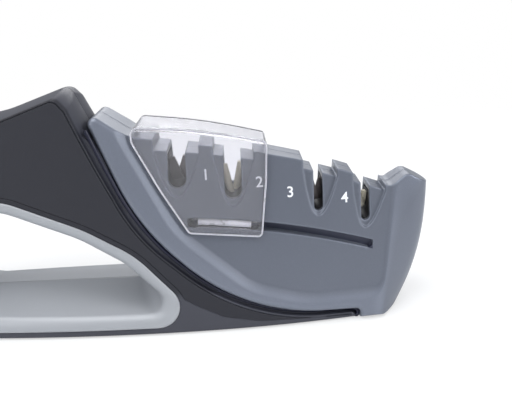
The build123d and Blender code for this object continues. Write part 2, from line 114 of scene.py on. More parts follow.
# vector maths; a length or a dot product comes out as one number
def vectorNode(tree, operation, first, second=None):
    node = tree.nodes.new("ShaderNodeVectorMath")
    node.operation = operation
    feed(tree, node.inputs[0], first)
    if second is not None:
        feed(tree, node.inputs["Scale" if operation == "SCALE" else 1], second)
    return node.outputs["Value" if operation in ("LENGTH", "DOT_PRODUCT") else "Vector"]


def rangeNode(tree, value, fromMin, fromMax, toMin=0.0, toMax=1.0, blend="LINEAR"):
    node = addNode(tree, "ShaderNodeMapRange", {
        "Value": value, "From Min": fromMin, "From Max": fromMax, "To Min": toMin, "To Max": toMax,
    })
    node.interpolation_type = blend
    return node.outputs["Result"]


# sockets 6 and 7 of a mix node are its colours, and output 2 is the colour that comes out
def mixColours(tree, share, first, second):
    node = tree.nodes.new("ShaderNodeMix")
    node.data_type = "RGBA"
    feed(tree, node.inputs[0], share)
    feed(tree, node.inputs[6], first)
    feed(tree, node.inputs[7], second)
    return node.outputs[2]


def splitVector(tree, vector):
    return addNode(tree, "ShaderNodeSeparateXYZ", {"Vector": vector}).outputs


def objectPlace(tree):
    return tree.nodes.new("ShaderNodeTexCoord").outputs["Object"]


# one where the camera looks, straight or through the clear guard
def seenShare(tree):
    path = tree.nodes.new("ShaderNodeLightPath")
    return mathNode(tree, "MAXIMUM", path.outputs["Is Camera Ray"], path.outputs["Is Transmission Ray"])


def mixIntoSurface(tree, share, first, second, out):
    mix = tree.nodes.new("ShaderNodeMixShader")
    tree.links.new(share, mix.inputs[0])
    tree.links.new(first.outputs[0], mix.inputs[1])
    tree.links.new(second.outputs[0], mix.inputs[2])
    tree.links.new(mix.outputs[0], out.inputs["Surface"])


def makeCamera(values):
    data = bpy.data.cameras.new("photoCamera")
    camera = bpy.data.objects.new("photoCamera", data)
    bpy.context.scene.collection.objects.link(camera)
    columns = (Vector(values["right"]), Vector(values["up"]), -Vector(values["forward"]))
    turn = Matrix.Identity(4)
    for column, axis in enumerate(columns):
        for row in range(3):
            turn[row][column] = axis[row]
    camera.matrix_world = Matrix.Translation(values["place"]) @ turn
    data.lens = values["lens"]
    data.sensor_width = values["sensor"]
    data.clip_start = values["clipStart"]
    bpy.context.scene.camera = camera


def makeFloor(values):
    deselectAll()
    bpy.ops.mesh.primitive_plane_add(size=values["floorSize"], location=(0, 0, values["floorHeight"]))
    floor = bpy.context.object
    floor.name = "studioFloor"
    mat = bpy.data.materials.new("studioFloor")
    mat.use_nodes = True
    tree = mat.node_tree
    tree.nodes.clear()
    out = tree.nodes.new("ShaderNodeOutputMaterial")
    diffuse = addNode(tree, "ShaderNodeBsdfDiffuse", {"Color": values["floorColour"]})
    glow = addNode(tree, "ShaderNodeEmission", {
        "Color": plainWhite, "Strength": values["whiteStrength"],
    })
    oval = addNode(tree, "ShaderNodeMapping", {
        "Vector": objectPlace(tree), "Scale": (values["floorLong"], 1.0, 1.0),
    })
    away = vectorNode(tree, "LENGTH", oval.outputs[0])
    fade = rangeNode(tree, away, values["nearReach"], values["farReach"],
                     toMin=values["nearShare"], blend="SMOOTHSTEP")
    share = mathNode(tree, "MULTIPLY", seenShare(tree), fade)
    mixIntoSurface(tree, share, diffuse, glow, out)
    floor.data.materials.append(mat)


def makeWorld(values):
    world = bpy.data.worlds.new("studioWorld")
    bpy.context.scene.world = world
    world.use_nodes = True
    tree = world.node_tree
    tree.nodes.clear()
    out = tree.nodes.new("ShaderNodeOutputWorld")
    light = addNode(tree, "ShaderNodeBackground", {
        "Color": values["worldColour"], "Strength": values["worldStrength"],
    })
    white = addNode(tree, "ShaderNodeBackground", {
        "Color": plainWhite, "Strength": values["whiteStrength"],
    })
    mixIntoSurface(tree, seenShare(tree), light, white, out)


def makeLamps(rows):
    for name, place, aim, sizeX, sizeY, watts in rows:
        data = bpy.data.lights.new(name, "AREA")
        data.shape = "RECTANGLE"
        data.size = sizeX
        data.size_y = sizeY
        data.energy = watts
        lamp = bpy.data.objects.new(name, data)
        bpy.context.scene.collection.objects.link(lamp)
        lamp.location = place
        lamp.rotation_euler = (Vector(aim) - Vector(place)).to_track_quat("-Z", "Y").to_euler()


makeCamera(cameraValues)
makeFloor(stageValues)
makeWorld(stageValues)
makeLamps(lampValues)
bpy.context.scene.view_settings.view_transform = "Standard"
print("stage ready")


# effects shared by the finishes; most of them take a place and a colour
placeSocket = ("Vector", "NodeSocketVector", (0.0, 0.0, 0.0))
colourSocket = ("Colour", "NodeSocketColor", (0.5, 0.5, 0.5, 1.0))


def newGroup(name, inputs, outputs):
    group = bpy.data.node_groups.new(name, "ShaderNodeTree")
    for socketName, kind, value in inputs:
        socket = group.interface.new_socket(name=socketName, in_out="INPUT", socket_type=kind)
        socket.default_value = value
    for socketName, kind in outputs:
        group.interface.new_socket(name=socketName, in_out="OUTPUT", socket_type=kind)
    takes = group.nodes.new("NodeGroupInput").outputs
    gives = group.nodes.new("NodeGroupOutput").inputs
    return group, takes, gives


def makeGrainGroup():
    # spark-eroded tool texture: fine dents for the bump, soft patches and small flecks
    group, takes, gives = newGroup(
        "mouldGrain",
        [
            placeSocket,
            ("Grain Scale", "NodeSocketFloat", 3000.0),
            ("Grain Detail", "NodeSocketFloat", 3.0),
            ("Grain Roughness", "NodeSocketFloat", 0.55),
            ("Patch Scale", "NodeSocketFloat", 25.0),
            ("Patch Detail", "NodeSocketFloat", 3.0),
            ("Patch Roughness", "NodeSocketFloat", 0.5),
            ("Fleck Core", "NodeSocketFloat", 0.10),
            ("Fleck Rim", "NodeSocketFloat", 0.26),
        ],
        [("Height", "NodeSocketFloat"), ("Patch", "NodeSocketFloat"), ("Fleck", "NodeSocketFloat")],
    )
    for kind, output in (("Grain", "Height"), ("Patch", "Patch")):
        noise = addNode(group, "ShaderNodeTexNoise", {
            "Vector": takes["Vector"],
            "Scale": takes[kind + " Scale"],
            "Detail": takes[kind + " Detail"],
            "Roughness": takes[kind + " Roughness"],
        })
        feed(group, gives[output], noise.outputs["Fac"])
    cells = addNode(group, "ShaderNodeTexVoronoi", {
        "Vector": takes["Vector"], "Scale": takes["Grain Scale"],
    })
    fleck = rangeNode(group, cells.outputs["Distance"], takes["Fleck Core"], takes["Fleck Rim"],
                      toMin=1.0, toMax=0.0)
    feed(group, gives["Fleck"], fleck)
    return group


def makeTintGroup():
    # moves a colour a little lighter and darker by a mask, and gives a roughness to match
    group, takes, gives = newGroup(
        "patchTint",
        [
            colourSocket,
            ("Mask", "NodeSocketFloat", 0.5),
            ("Mask Middle", "NodeSocketFloat", 0.5),
            ("Fleck", "NodeSocketFloat", 0.0),
            ("Tint", "NodeSocketFloat", 0.06),
            ("Fleck Lift", "NodeSocketFloat", 0.0),
            ("Roughness", "NodeSocketFloat", 0.4),
            ("Roughness Spread", "NodeSocketFloat", 0.08),
        ],
        [("Colour", "NodeSocketColor"), ("Roughness", "NodeSocketFloat")],
    )
    centred = mathNode(group, "SUBTRACT", takes["Mask"], takes["Mask Middle"])
    tint = mathNode(group, "MULTIPLY_ADD", centred, takes["Tint"], 1.0)
    glint = mathNode(group, "MULTIPLY_ADD", takes["Fleck"], takes["Fleck Lift"], tint)
    gloss = mathNode(group, "MULTIPLY_ADD", centred, takes["Roughness Spread"], takes["Roughness"])
    feed(group, gives["Colour"], vectorNode(group, "SCALE", takes["Colour"], glint))
    feed(group, gives["Roughness"], gloss)
    return group


def makeEdgeHighlightGroup():
    # painted highlight: picks out edges, where the rounded normal turns away from the flat one, and paints
    # them lighter
    group, takes, gives = newGroup(
        "paintedEdgeHighlight",
        [
            ("Rounded", "NodeSocketVector", (0.0, 0.0, 1.0)),
            ("Flat", "NodeSocketVector", (0.0, 0.0, 1.0)),
            colourSocket,
            ("Highlight Colour", "NodeSocketColor", (0.7, 0.7, 0.7, 1.0)),
            ("Amount", "NodeSocketFloat", 0.5),
            ("Highlight Start", "NodeSocketFloat", 0.995),
            ("Highlight Full", "NodeSocketFloat", 0.80),
        ],
        [("Colour", "NodeSocketColor")],
    )
    along = vectorNode(group, "DOT_PRODUCT", takes["Rounded"], takes["Flat"])
    fall = rangeNode(group, along, takes["Highlight Start"], takes["Highlight Full"])
    share = mathNode(group, "MULTIPLY", fall, takes["Amount"])
    feed(group, gives["Colour"], mixColours(group, share, takes["Colour"], takes["Highlight Colour"]))
    return group


def makePartingGroup():
    # the thin line where the front and rear mouldings meet
    group, takes, gives = newGroup(
        "partingLine",
        [
            placeSocket,
            ("Half Width", "NodeSocketFloat", 0.00022),
            ("Strength", "NodeSocketFloat", 0.35),
            colourSocket,
        ],
        [("Colour", "NodeSocketColor"), ("Height", "NodeSocketFloat")],
    )
    off = mathNode(group, "ABSOLUTE", splitVector(group, takes["Vector"])["Y"])
    rise = rangeNode(group, off, 0.0, takes["Half Width"], blend="SMOOTHSTEP")
    dark = mathNode(group, "MULTIPLY", mathNode(group, "SUBTRACT", 1.0, rise), takes["Strength"])
    keep = mathNode(group, "SUBTRACT", 1.0, dark)
    feed(group, gives["Colour"], vectorNode(group, "SCALE", takes["Colour"], keep))
    feed(group, gives["Height"], rise)
    return group


def makePaintedGrooveShadeGroup():
    # painted shade: darkens the floor and the walls of the curved groove, a band about the guard's pivot,
    # for the shade that falls in the recess
    group, takes, gives = newGroup(
        "groovePaintedShade",
        [
            placeSocket,
            ("Pivot", "NodeSocketVector", (-0.017, 0.0, -0.314)),
            ("Radius", "NodeSocketFloat", 0.3601),
            ("Half Width", "NodeSocketFloat", 0.00172),
            ("Left", "NodeSocketFloat", 0.0158),
            ("Right", "NodeSocketFloat", 0.0899),
            ("Amount", "NodeSocketFloat", 0.85),
            colourSocket,
            ("Groove Shade Colour", "NodeSocketColor", (0.02, 0.02, 0.05, 1.0)),
        ],
        [("Colour", "NodeSocketColor")],
    )
    away = vectorNode(group, "SUBTRACT", takes["Vector"], takes["Pivot"])
    seenFlat = vectorNode(group, "MULTIPLY", away, (1.0, 0.0, 1.0))
    off = mathNode(group, "SUBTRACT", vectorNode(group, "LENGTH", seenFlat), takes["Radius"])
    within = mathNode(group, "LESS_THAN", mathNode(group, "ABSOLUTE", off), takes["Half Width"])
    along = splitVector(group, takes["Vector"])["X"]
    fromLeft = mathNode(group, "GREATER_THAN", along, takes["Left"])
    toRight = mathNode(group, "LESS_THAN", along, takes["Right"])
    between = mathNode(group, "MULTIPLY", fromLeft, toRight)
    whole = mathNode(group, "MULTIPLY", between, within)
    share = mathNode(group, "MULTIPLY", whole, takes["Amount"])
    feed(group, gives["Colour"], mixColours(group, share, takes["Colour"], takes["Groove Shade Colour"]))
    return group


def makeSideGroup():
    # the outer side of the frame, between the crease and the loop, is as dark as the grip
    group, takes, gives = newGroup(
        "sideShade",
        [
            placeSocket,
            ("Widest At", "NodeSocketFloat", 0.010),
            ("Widest", "NodeSocketFloat", 0.026),
            ("Curve", "NodeSocketFloat", -0.7),
            ("Lean", "NodeSocketFloat", -5.04),
            ("Foot", "NodeSocketFloat", 1.004),
            ("Full Depth", "NodeSocketFloat", 0.0010),
            ("End Depth", "NodeSocketFloat", 0.0019),
            ("Low", "NodeSocketFloat", 0.0150),
            ("High", "NodeSocketFloat", 0.0180),
            colourSocket,
            ("Side Colour", "NodeSocketColor", (0.0105, 0.011, 0.018, 1.0)),
        ],
        [("Colour", "NodeSocketColor")],
    )
    place = splitVector(group, takes["Vector"])
    off = mathNode(group, "ADD", place["X"], takes["Widest At"])
    square = mathNode(group, "MULTIPLY", off, off)
    plan = mathNode(group, "MULTIPLY_ADD", square, takes["Curve"], takes["Widest"])
    lean = mathNode(group, "MULTIPLY_ADD", place["Z"], takes["Lean"], takes["Foot"])
    half = mathNode(group, "MULTIPLY", plan, lean)
    depth = mathNode(group, "SUBTRACT", half, mathNode(group, "ABSOLUTE", place["Y"]))
    near = rangeNode(group, depth, takes["Full Depth"], takes["End Depth"], toMin=1.0, toMax=0.0)
    above = rangeNode(group, place["Z"], takes["Low"], takes["High"])
    share = mathNode(group, "MULTIPLY", near, above)
    feed(group, gives["Colour"], mixColours(group, share, takes["Colour"], takes["Side Colour"]))
    return group


def makePaintedPanelShadeGroup():
    # painted shade: the sunken panel of the face is painted a shade darker than the rim that stands round
    # it, for the shade it gets from the way it faces
    group, takes, gives = newGroup(
        "panelPaintedShade",
        [
            placeSocket,
            ("Slope", "NodeSocketVector", (0.10, 1.0, 0.25)),
            ("Face", "NodeSocketFloat", 0.0294),
            ("Step", "NodeSocketFloat", 0.0014),
            ("Darker", "NodeSocketFloat", 0.76),
            colourSocket,
        ],
        [("Colour", "NodeSocketColor")],
    )
    place = splitVector(group, takes["Vector"])
    folded = addNode(group, "ShaderNodeCombineXYZ", {
        "X": place["X"], "Y": mathNode(group, "ABSOLUTE", place["Y"]), "Z": place["Z"],
    })
    along = vectorNode(group, "DOT_PRODUCT", folded.outputs[0], takes["Slope"])
    out = mathNode(group, "SUBTRACT", along, takes["Face"])
    rise = rangeNode(group, out, 0.0, takes["Step"], toMin=takes["Darker"], blend="SMOOTHSTEP")
    feed(group, gives["Colour"], vectorNode(group, "SCALE", takes["Colour"], rise))
    return group


grainGroup = makeGrainGroup()
tintGroup = makeTintGroup()
edgeHighlightGroup = makeEdgeHighlightGroup()
partingGroup = makePartingGroup()
paintedGrooveShadeGroup = makePaintedGrooveShadeGroup()
paintedPanelShadeGroup = makePaintedPanelShadeGroup()
sideGroup = makeSideGroup()


def newMaterial(name):
    mat = bpy.data.materials.new(name)
    mat.use_nodes = True
    return mat, mat.node_tree, mat.node_tree.nodes["Principled BSDF"]


# what every finish starts from: grain, patches of colour and gloss, and flecks where it has them
def grainAndTint(tree, place, values):
    grain = useGroup(tree, grainGroup, {
        "Vector": place,
        "Grain Scale": values["grainScale"],
        "Patch Scale": values["patchScale"],
    })
    tint = useGroup(tree, tintGroup, {
        "Colour": values["colour"] + (1.0,),
        "Mask": grain["Patch"],
        "Fleck": grain["Fleck"],
        "Fleck Lift": values.get("fleck", 0.0),
        "Tint": values["tint"],
        "Roughness": values["roughness"],
        "Roughness Spread": values["spread"],
    })
    return grain, tint


def softNormal(tree, radius, samples):
    node = addNode(tree, "ShaderNodeBevel", {"Radius": radius})
    node.samples = samples
    return node.outputs["Normal"]


def bumpNormal(tree, height, strength, distance, normal):
    node = addNode(tree, "ShaderNodeBump", {
        "Strength": strength, "Distance": distance, "Height": height,
    })
    if normal:
        tree.links.new(normal, node.inputs["Normal"])
    return node.outputs["Normal"]


# what a moulded finish has unless its own row says otherwise
mouldedValues = {
    "metallic": 0.0,
    "coat": 0.0,
    "coatRoughness": 0.2,
    "sheen": 0.0,
    "sheenRoughness": 0.5,
    "bevelSamples": 8,
    "bumpDistance": 0.0001,
    "partingDistance": 0.0003,
    "groove": None,
    "side": None,
    "parting": None,
}


def moulded(name, ownValues):
    # moulded finish: soft edges, tool grain, patches of gloss and a painted highlight that lightens the
    # edges
    values = {**mouldedValues, **ownValues}
    mat, tree, bsdf = newMaterial(name)
    place = objectPlace(tree)
    grain, tint = grainAndTint(tree, place, values)
    normal = softNormal(tree, values["edge"], values["bevelSamples"])
    # painted highlight: the colour the edges are painted, the finish's own colour made lighter
    highlightColour = tuple(min(1.0, part * values["highlightLift"]) for part in values["colour"])
    colour = useGroup(tree, edgeHighlightGroup, {
        "Rounded": normal,
        "Flat": tree.nodes.new("ShaderNodeNewGeometry").outputs["Normal"],
        "Colour": tint["Colour"],
        "Highlight Colour": highlightColour + (1.0,),
        "Amount": values["edgeHighlight"],
    })["Colour"]
    if values["groove"]:
        # painted shade on the sunken panel
        colour = useGroup(tree, paintedPanelShadeGroup, {"Vector": place, "Colour": colour})["Colour"]
        # painted shade in the groove
        colour = useGroup(tree, paintedGrooveShadeGroup, {
            "Vector": place, "Colour": colour, "Groove Shade Colour": values["groove"] + (1.0,),
        })["Colour"]
    if values["side"]:
        colour = useGroup(tree, sideGroup, {
            "Vector": place, "Colour": colour, "Side Colour": values["side"] + (1.0,),
        })["Colour"]
    if values["parting"]:
        seam = useGroup(tree, partingGroup, {
            "Vector": place,
            "Colour": colour,
            "Half Width": values["parting"],
            "Strength": values["partingDepth"],
        })
        colour = seam["Colour"]
        normal = bumpNormal(tree, seam["Height"], values["partingDepth"], values["partingDistance"], normal)
    normal = bumpNormal(tree, grain["Height"], values["bump"], values["bumpDistance"], normal)
    for socketName, source in (
        ("Base Color", colour), ("Roughness", tint["Roughness"]), ("Normal", normal),
        ("Metallic", values["metallic"]),
        ("Coat Weight", values["coat"]), ("Coat Roughness", values["coatRoughness"]),
        ("Sheen Weight", values["sheen"]), ("Sheen Roughness", values["sheenRoughness"]),
    ):
        feed(tree, bsdf.inputs[socketName], source)
    return mat


# in each row, the lightening of the edges is a painted highlight
finishValues = {
    "silver_shell": dict(
        colour=(0.160, 0.178, 0.222), roughness=0.38, spread=0.10, tint=0.10, fleck=0.35, metallic=0.35,
        edge=0.0014, edgeHighlight=0.7, highlightLift=1.6, parting=0.00022, partingDepth=0.15,
        # the groove colour is painted shade in the groove, and it also turns on the painted shade of the
        # sunken panel
        groove=(0.006, 0.008, 0.030), grainScale=2600.0, patchScale=22.0, bump=0.10,
        coat=0.15, coatRoughness=0.3),
    "charcoal_shell": dict(
        colour=(0.040, 0.042, 0.056), roughness=0.46, spread=0.10, tint=0.08, metallic=0.1,
        edge=0.0009, edgeHighlight=0.4, highlightLift=1.6, parting=0.00024, partingDepth=0.35,
        side=(0.0090, 0.0098, 0.0170), grainScale=2200.0, patchScale=20.0, bump=0.18, coat=0.05),
    "soft_grip": dict(
        colour=(0.0090, 0.0098, 0.0170), roughness=0.62, spread=0.10, tint=0.10,
        edge=0.0004, edgeHighlight=0.3, highlightLift=1.6, grainScale=1800.0, patchScale=18.0, bump=0.30, sheen=0.06),
    "loop_grey": dict(
        colour=(0.34, 0.355, 0.38), roughness=0.38, spread=0.10, tint=0.05, metallic=0.15,
        edge=0.0008, edgeHighlight=0.15, highlightLift=1.15, parting=0.00020, partingDepth=0.30,
        grainScale=2600.0, patchScale=22.0, bump=0.10),
    "holder_black": dict(
        colour=(0.018, 0.018, 0.022), roughness=0.55, spread=0.10, tint=0.10,
        edge=0.0003, edgeHighlight=0.4, highlightLift=2.0, grainScale=1500.0, patchScale=40.0, bump=0.3),
    "carbide": dict(
        colour=(0.095, 0.085, 0.086), roughness=0.34, spread=0.15, tint=0.15, metallic=0.9,
        edge=0.0001, edgeHighlight=0.5, highlightLift=2.0, grainScale=1800.0, patchScale=120.0, bump=0.25),
    "ceramic_rod": dict(
        colour=(0.72, 0.68, 0.56), roughness=0.65, spread=0.08, tint=0.08,
        edge=0.0002, edgeHighlight=0.2, highlightLift=1.1, grainScale=2500.0, patchScale=90.0, bump=0.25),
    "screw_steel": dict(
        colour=(0.34, 0.34, 0.36), roughness=0.32, spread=0.12, tint=0.08, metallic=0.95,
        edge=0.0003, edgeHighlight=0.4, highlightLift=1.5, grainScale=1500.0, patchScale=90.0, bump=0.1),
    "base_black": dict(
        colour=(0.020, 0.021, 0.026), roughness=0.52, spread=0.10, tint=0.10,
        edge=0.0004, edgeHighlight=0.3, highlightLift=2.0, grainScale=1600.0, patchScale=25.0, bump=0.35),
    "pad_rubber": dict(
        colour=(0.032, 0.032, 0.036), roughness=0.78, spread=0.08, tint=0.12,
        edge=0.0005, edgeHighlight=0.3, highlightLift=1.8, grainScale=1400.0, patchScale=40.0, bump=0.5),
}
clearValues = {
    "colour": (0.95, 0.95, 0.985),
    "roughness": 0.07,
    "spread": 0.06,
    "tint": 0.02,
    "grainScale": 260.0,
    "patchScale": 45.0,
    "edge": 0.0004,
    "bevelSamples": 6,
    "wave": "Patch",       # the output of the grain that waves the surface
    "bump": 0.05,
    "bumpDistance": 0.0004,
    "clear": 0.97,         # share of the light that goes through
    "refraction": 1.49,    # acrylic
}


# clear plastic, with softened edges where it has an edge value
def clearPlastic(name, values):
    mat, tree, bsdf = newMaterial(name)
    grain, tint = grainAndTint(tree, objectPlace(tree), values)
    normal = None
    if values["edge"]:
        normal = softNormal(tree, values["edge"], values["bevelSamples"])
    normal = bumpNormal(tree, grain[values["wave"]], values["bump"], values["bumpDistance"], normal)
    tree.links.new(tint["Colour"], bsdf.inputs["Base Color"])
    tree.links.new(tint["Roughness"], bsdf.inputs["Roughness"])
    tree.links.new(normal, bsdf.inputs["Normal"])
    bsdf.inputs["Transmission Weight"].default_value = values["clear"]
    bsdf.inputs["IOR"].default_value = values["refraction"]
    return mat


finishes = {slotName: moulded(slotName + "Finish", values) for slotName, values in finishValues.items()}
finishes["clear_guard"] = clearPlastic("clear_guard", clearValues)


def dressNodes():
    slotOf = {row["node"]: row["material_slot"] for row in frame["record"]["subparts"]}
    for nodeName, slotName in slotOf.items():
        obj = frame["nodes"][nodeName]
        if not obj.material_slots:
            obj.data.materials.append(finishes[slotName])
        for slot in obj.material_slots:
            slot.material = finishes[slotName]


dressNodes()
print("CAD nodes dressed")


tubeValues = {
    "pathSteps": 10,
    "roundSteps": 6,
    "mergeWithin": 0.00001,
    "smoothAngle": 0.9,
}
# a tube's path is that of the front; the rear one is its mirror image
tubeSides = (("Front", 1), ("Rear", -1))


# round strip along a path, made as a bevelled curve and then turned into a mesh
def makeTube(name, path, side, radius, closed, mat, body):
    deselectAll()
    bpy.ops.curve.primitive_bezier_curve_add(location=(0, 0, 0))
    piece = bpy.context.object
    piece.name = name
    spline = piece.data.splines[0]
    spline.bezier_points.add(len(path) - len(spline.bezier_points))
    for point, (x, y, z) in zip(spline.bezier_points, path):
        point.co = (x, y * side, z)
        point.handle_left_type = "AUTO"
        point.handle_right_type = "AUTO"
    spline.use_cyclic_u = closed
    piece.data.dimensions = "3D"
    piece.data.resolution_u = tubeValues["pathSteps"]
    piece.data.bevel_depth = radius
    piece.data.bevel_resolution = tubeValues["roundSteps"]
    piece.data.use_fill_caps = not closed
    bpy.ops.object.convert(target="MESH")
    piece = bpy.context.object
    bpy.ops.object.mode_set(mode="EDIT")
    bpy.ops.mesh.select_all(action="SELECT")
    bpy.ops.mesh.remove_doubles(threshold=tubeValues["mergeWithin"])
    bpy.ops.mesh.normals_make_consistent(inside=False)
    bpy.ops.object.mode_set(mode="OBJECT")
    bpy.ops.object.shade_smooth_by_angle(angle=tubeValues["smoothAngle"])
    piece.data.materials.clear()
    piece.data.materials.append(mat)
    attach(piece, body)


# dark bead that lies in the channel between the head and the frame, on both sides; its near-black colour is
# painted shade, for the shade that falls in the channel
shadeBeadValues = {
    "radius": 0.00078,
    "finish": dict(
        colour=(0.0012, 0.0022, 0.0170), roughness=0.36, spread=0.08, tint=0.1,
        edge=0.0001, edgeHighlight=0.0, highlightLift=1.0, grainScale=1800.0, patchScale=30.0, bump=0.15),
    "path": [
        (0.0822, -0.0194, 0.0010), (0.0830, -0.0194, 0.0010), (0.0834, -0.0191, 0.0020),
        (0.0829, -0.0186, 0.0032), (0.0815, -0.0184, 0.0037), (0.0790, -0.0182, 0.0037),
        (0.0690, -0.0194, 0.0041), (0.0567, -0.0206, 0.0054), (0.0447, -0.0214, 0.0085),
        (0.0334, -0.0216, 0.0133), (0.0228, -0.0213, 0.0196), (0.0133, -0.0205, 0.0275),
        (0.0026, -0.0191, 0.0386), (-0.0059, -0.0175, 0.0510), (-0.0126, -0.0156, 0.0652),
        (-0.0195, -0.0133, 0.0818),
    ],
}

finishes["channelShadeBead"] = moulded("channelShadeBeadFinish", shadeBeadValues["finish"])
for sideName, side in tubeSides:
    makeTube("channelShadeBead" + sideName, shadeBeadValues["path"], side, shadeBeadValues["radius"], False,
             finishes["channelShadeBead"], "sharpener")
print("channel beads laid")


# points round an outline with rounded corners, as many at every corner and on every run
def roundedOutline(corners, radii, arcSteps, runSteps):
    arcs = []
    for i, corner in enumerate(corners):
        here = Vector(corner)
        back = (Vector(corners[i - 1]) - here).normalized()
        onward = (Vector(corners[(i + 1) % len(corners)]) - here).normalized()
        half = back.angle(onward) / 2
        centre = here + (back + onward).normalized() * (radii[i] / math.sin(half))
        first = here + back * (radii[i] / math.tan(half)) - centre
        turn = math.pi - 2 * half
        if back.x * onward.y - back.y * onward.x > 0:
            turn = -turn
        start = math.atan2(first.y, first.x)
        arc = []
        for k in range(arcSteps + 1):
            angle = start + turn * k / arcSteps
            arc.append(centre + radii[i] * Vector((math.cos(angle), math.sin(angle))))
        arcs.append(arc)
    points = []
    for i, arc in enumerate(arcs):
        points += arc
        following = arcs[(i + 1) % len(arcs)][0]
        points += [arc[-1].lerp(following, k / runSteps) for k in range(1, runSteps)]
    return points


# light that gathers in the edges and in the ribs of the clear guard, outline in mm
guardEdgeValues = {
    "radius": 0.00038,
    "ribRadius": 0.00125,
    "finish": {
        "colour": (0.90, 0.90, 0.97),
        "roughness": 0.30,
        "spread": 0.20,
        "grainScale": 420.0,
        "patchScale": 180.0,
        "edge": None,      # a round strip has no edge to soften
        "wave": "Height",
        "bumpDistance": 0.0006,
        "refraction": 1.49,
    },
    "edgeFinish": {"clear": 0.35, "tint": 0.1, "bump": 0.1},
    "ribFinish": {"clear": 0.25, "tint": 0.9, "bump": 0.9},
    "outline": [
        (44.5, 37.5), (47.0, 58.4), (47.7, 73.2), (22.6, 79.5),
        (-3.3, 81.4), (-3.3, 76.4), (6.4, 57.9), (16.5, 41.1),
    ],
    "radii": [1.5, 40.0, 2.0, 260.0, 2.6, 6.0, 80.0, 2.0],
    "arcSteps": 6,
    "runSteps": 3,
    "faceHalf": 31.0,      # the middle of the wall: y = lean * z + yaw * x - faceHalf
    "lean": 0.25,
    "yaw": 0.10,
    "ribPath": [(0.0197, -0.0149, 0.0442), (0.0300, -0.0144, 0.0430), (0.0404, -0.0139, 0.0416)],
}


def guardEdgePath(values):
    path = []
    for x, z in roundedOutline(values["outline"], values["radii"], values["arcSteps"], values["runSteps"]):
        y = values["lean"] * z + values["yaw"] * x - values["faceHalf"]
        path.append((x / mmPerMetre, y / mmPerMetre, z / mmPerMetre))
    return path


def makeGuardLights(values):
    edgeLight = clearPlastic("guardEdgeLight", {**values["finish"], **values["edgeFinish"]})
    ribLight = clearPlastic("guardRibLight", {**values["finish"], **values["ribFinish"]})
    for sideName, side in tubeSides:
        makeTube("guardEdge" + sideName, guardEdgePath(values), side, values["radius"], True,
                 edgeLight, "guard")
        makeTube("guardRib" + sideName, values["ribPath"], side, values["ribRadius"], False,
                 ribLight, "guard")


makeGuardLights(guardEdgeValues)
print("guard edges made")


# halves of the loop's liner: a proud lip that rolls over into the floor, outlines in mm
linerValues = {
    "lip": [(-5.0, 33.6), (-24.0, 44.8), (-66.0, 62.0), (-97.5, 32.0), (-84.0, 2.9), (22.2, 2.9)],
    "lipRadii": [40.0, 60.0, 30.0, 22.0, 16.0, 9.1],
    "mouth": [(-8.0, 31.0), (-24.0, 40.8), (-66.0, 57.8), (-93.5, 32.0), (-81.5, 7.0), (14.5, 7.0)],
    "mouthRadii": [30.0, 50.0, 27.0, 19.0, 14.0, 6.0],
    "seam": [(-13.5, 27.5), (-29.0, 38.5), (-65.0, 54.0), (-90.5, 32.0), (-79.0, 13.2), (-1.0, 13.2)],
    "seamRadii": [20.0, 45.0, 24.0, 17.0, 12.0, 4.0],
    "mouthReach": 28.0,    # the mouth's outline lies this far from the middle
    "arcSteps": 14,
    "runSteps": 9,
    "gap": 0.1,            # round the lip
    "seamGap": 0.04,
    "wall": 2.0,
    "flange": 3.8,
    "edge": [(0.0, 0.50), (0.03, 0.22), (0.08, 0.06), (0.16, 0.0)],    # share of the way in, and depth
    "nearShare": 0.2,      # the CAD lip is measured at these two shares of the way in
    "farShare": 0.5,
    "outside": 60.0,       # the measuring rays start here, clear of the part
    "rollDepth": 4.5,
    "rollSteps": 10,
    "wallSteps": 6,
    "smoothAngle": 0.7,
}


def grownOutline(points, reach):
    middle = sum(points, Vector((0.0, 0.0))) / len(points)
    grown = []
    for i, point in enumerate(points):
        along = (points[(i + 1) % len(points)] - points[i - 1]).normalized()
        across = Vector((along.y, -along.x))
        if across.dot(point - middle) < 0:
            across = -across
        grown.append(point + across * reach)
    return grown


# point of the side at a half width, from mm to metres
def sidePoint(point, side, width):
    return Vector((point.x / mmPerMetre, side * width / mmPerMetre, point.y / mmPerMetre))


# half width of the CAD lip at a point of the side, in mm
def lipFace(node, side, point, outside):
    hit, place, _, _ = node.ray_cast(sidePoint(point, side, outside), Vector((0, -side, 0)))
    if not hit:
        raise RuntimeError("no lip at %.1f %.1f" % (point.x, point.y))
    return abs(place.y) * mmPerMetre


